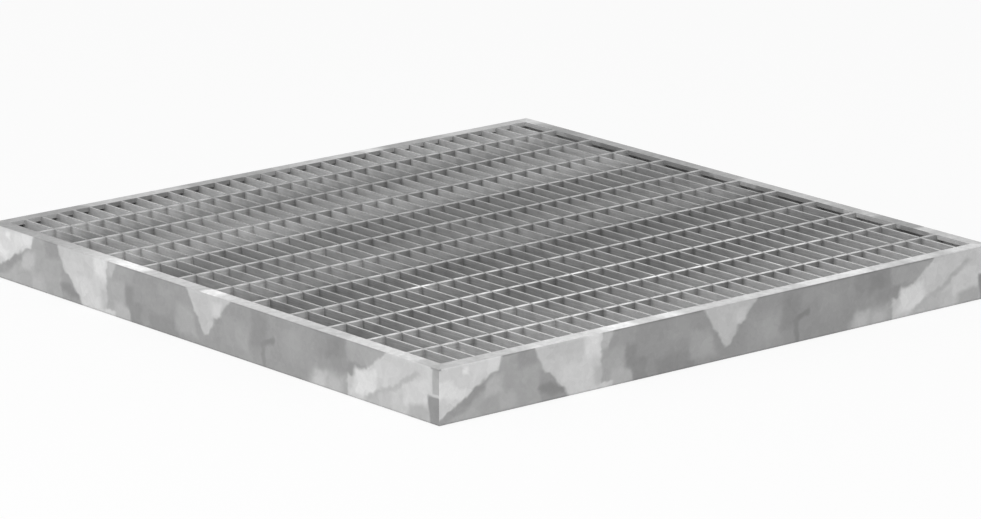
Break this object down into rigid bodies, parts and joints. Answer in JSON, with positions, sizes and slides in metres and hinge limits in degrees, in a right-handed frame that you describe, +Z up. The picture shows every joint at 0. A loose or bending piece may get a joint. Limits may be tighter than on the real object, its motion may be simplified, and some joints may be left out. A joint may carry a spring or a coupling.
{
  "type": "light well grate",
  "caption": "Square press-locked steel grate for a light well: a fine mesh of flat bars edged with rolled channel, resting loose in a frame.",
  "frame": {"origin": "middle of the underside, in plan the grate's centre", "axes": "+X along the bearing bars, +Y along the filler bars, +Z up to the walking face"},
  "size_m": [0.39, 0.39, 0.03],
  "materials": {
    "edging_zinc": "hot-dip galvanised, large soft grey zinc patches",
    "bearing_zinc": "hot-dip galvanised, dull grey sides and brighter top edges",
    "filler_zinc": "hot-dip galvanised, dull grey sides and brighter top edges"
  },
  "bodies": {
    "root": {"edging_front": "edging_zinc", "edging_right": "edging_zinc", "edging_back": "edging_zinc", "edging_left": "edging_zinc", "bearing_bar_01": "bearing_zinc", "bearing_bar_02": "bearing_zinc", "bearing_bar_03": "bearing_zinc", "bearing_bar_04": "bearing_zinc", "bearing_bar_05": "bearing_zinc", "bearing_bar_06": "bearing_zinc", "bearing_bar_07": "bearing_zinc", "bearing_bar_08": "bearing_zinc", "bearing_bar_09": "bearing_zinc", "bearing_bar_10": "bearing_zinc", "bearing_bar_11": "bearing_zinc", "filler_bar_01": "filler_zinc", "filler_bar_02": "filler_zinc", "filler_bar_03": "filler_zinc", "filler_bar_04": "filler_zinc", "filler_bar_05": "filler_zinc", "filler_bar_06": "filler_zinc", "filler_bar_07": "filler_zinc", "filler_bar_08": "filler_zinc", "filler_bar_09": "filler_zinc", "filler_bar_10": "filler_zinc", "filler_bar_11": "filler_zinc", "filler_bar_12": "filler_zinc", "filler_bar_13": "filler_zinc", "filler_bar_14": "filler_zinc", "filler_bar_15": "filler_zinc", "filler_bar_16": "filler_zinc", "filler_bar_17": "filler_zinc", "filler_bar_18": "filler_zinc", "filler_bar_19": "filler_zinc", "filler_bar_20": "filler_zinc", "filler_bar_21": "filler_zinc", "filler_bar_22": "filler_zinc", "filler_bar_23": "filler_zinc", "filler_bar_24": "filler_zinc", "filler_bar_25": "filler_zinc", "filler_bar_26": "filler_zinc", "filler_bar_27": "filler_zinc", "filler_bar_28": "filler_zinc", "filler_bar_29": "filler_zinc", "filler_bar_30": "filler_zinc", "filler_bar_31": "filler_zinc", "filler_bar_32": "filler_zinc", "filler_bar_33": "filler_zinc"}
  },
  "joints": []
}
